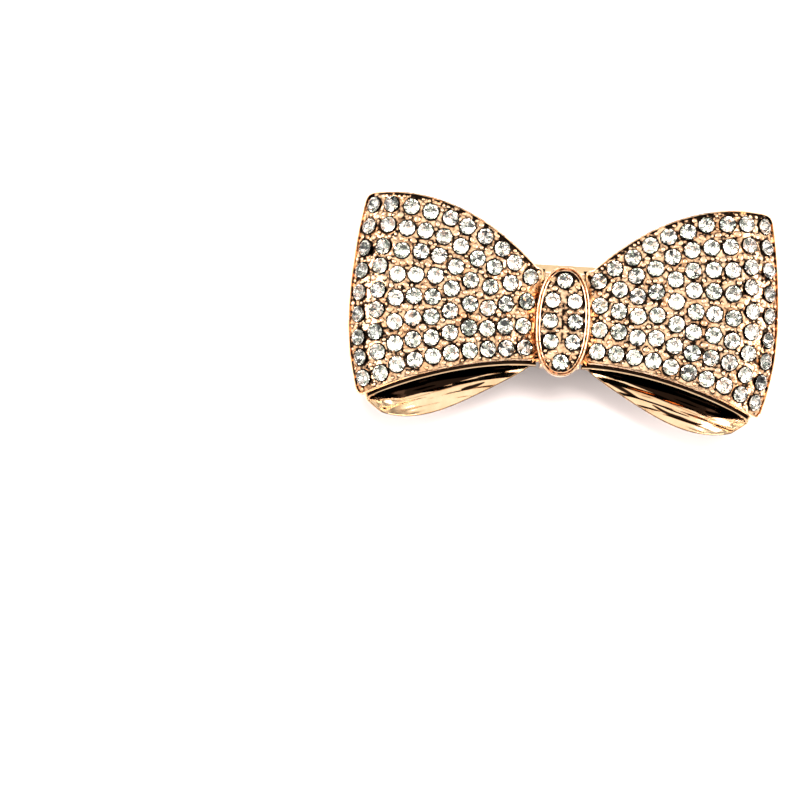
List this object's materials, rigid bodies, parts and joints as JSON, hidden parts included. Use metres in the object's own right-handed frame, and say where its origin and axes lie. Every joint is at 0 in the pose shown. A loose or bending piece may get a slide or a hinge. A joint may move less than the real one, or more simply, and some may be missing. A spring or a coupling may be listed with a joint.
{
  "type": "rhinestone hair clip",
  "caption": "Gold-plated hollow ribbon bow set with round clear rhinestones, on a hinged French barrette with a tension bar and a two-prong catch.",
  "frame": {"origin": "on the surface that the clip lies on, under the middle of its bounding box", "axes": "+X along the bow and the barrette towards the catch end, +Y to the bow's upper edge, +Z out of the stones"},
  "size_m": [0.0498, 0.0258, 0.0151],
  "materials": {
    "bow_gold": "polished pale rose-gold plating over cast alloy",
    "solder": "dull gold-plated solder",
    "clip_gold": "gold-plated pressed steel, satin",
    "spring_gold": "gold-plated spring steel, satin",
    "rhinestone": "faceted clear glass with a silvered back"
  },
  "bodies": {
    "clasp": {"clasp_arm": "clip_gold", "hinge_pin": "clip_gold"},
    "bow": {"left_pave_plate": "bow_gold", "right_pave_plate": "bow_gold", "left_loop_shell": "bow_gold", "right_loop_shell": "bow_gold", "knot_cap": "bow_gold", "knot_band": "bow_gold", "neck_core": "bow_gold", "solder_pad_left": "solder", "solder_pad_middle": "solder", "solder_pad_right": "solder", "base_plate": "clip_gold", "tension_bar_pin": "clip_gold", "catch_plate": "clip_gold", "catch_rivet": "clip_gold", "left_stone_column_1": "rhinestone", "left_stone_column_2": "rhinestone", "left_stone_column_3": "rhinestone", "left_stone_column_4": "rhinestone", "left_stone_column_5": "rhinestone", "left_stone_column_6": "rhinestone", "left_stone_column_7": "rhinestone", "left_stone_column_8": "rhinestone", "left_stone_column_9": "rhinestone", "left_stone_column_10": "rhinestone", "right_stone_column_1": "rhinestone", "right_stone_column_2": "rhinestone", "right_stone_column_3": "rhinestone", "right_stone_column_4": "rhinestone", "right_stone_column_5": "rhinestone", "right_stone_column_6": "rhinestone", "right_stone_column_7": "rhinestone", "right_stone_column_8": "rhinestone", "right_stone_column_9": "rhinestone", "right_stone_column_10": "rhinestone", "knot_stone_1": "rhinestone", "knot_stone_2": "rhinestone", "knot_stone_3": "rhinestone", "knot_stone_4": "rhinestone", "knot_stone_5": "rhinestone", "knot_stone_6": "rhinestone", "knot_stone_7": "rhinestone", "knot_stone_8": "rhinestone"},
    "tension": {"tension_bar": "spring_gold"},
    "prong_upper": {"catch_prong_upper": "spring_gold"},
    "prong_lower": {"catch_prong_lower": "spring_gold"}
  },
  "joints": [
    {"name": "clasp_hinge", "type": "hinge", "parent": "clasp", "child": "bow", "pos_m": [-0.0205, 0.00197, 0.003], "axis": [0, -1, 0], "range_deg": [0, 70]},
    {"name": "tension_flex", "type": "hinge", "parent": "bow", "child": "tension", "pos_m": [-0.0175, 0.00197, 0.0042], "axis": [0, -1, 0], "range_deg": [-3, 0.8], "stiffness_Nm_per_rad": 0.02},
    {"name": "prong_upper_flex", "type": "hinge", "parent": "bow", "child": "prong_upper", "pos_m": [0.0185, 0.00329, 0.00465], "axis": [-1, 0, 0], "range_deg": [0, 8], "stiffness_Nm_per_rad": 0.0005},
    {"name": "prong_lower_flex", "type": "hinge", "parent": "bow", "child": "prong_lower", "pos_m": [0.0185, 0.00064, 0.00465], "axis": [1, 0, 0], "range_deg": [0, 8], "stiffness_Nm_per_rad": 0.0005}
  ],
  "couplings": [
    {"joint": "prong_lower_flex", "follows": "prong_upper_flex", "ratio": 1}
  ]
}
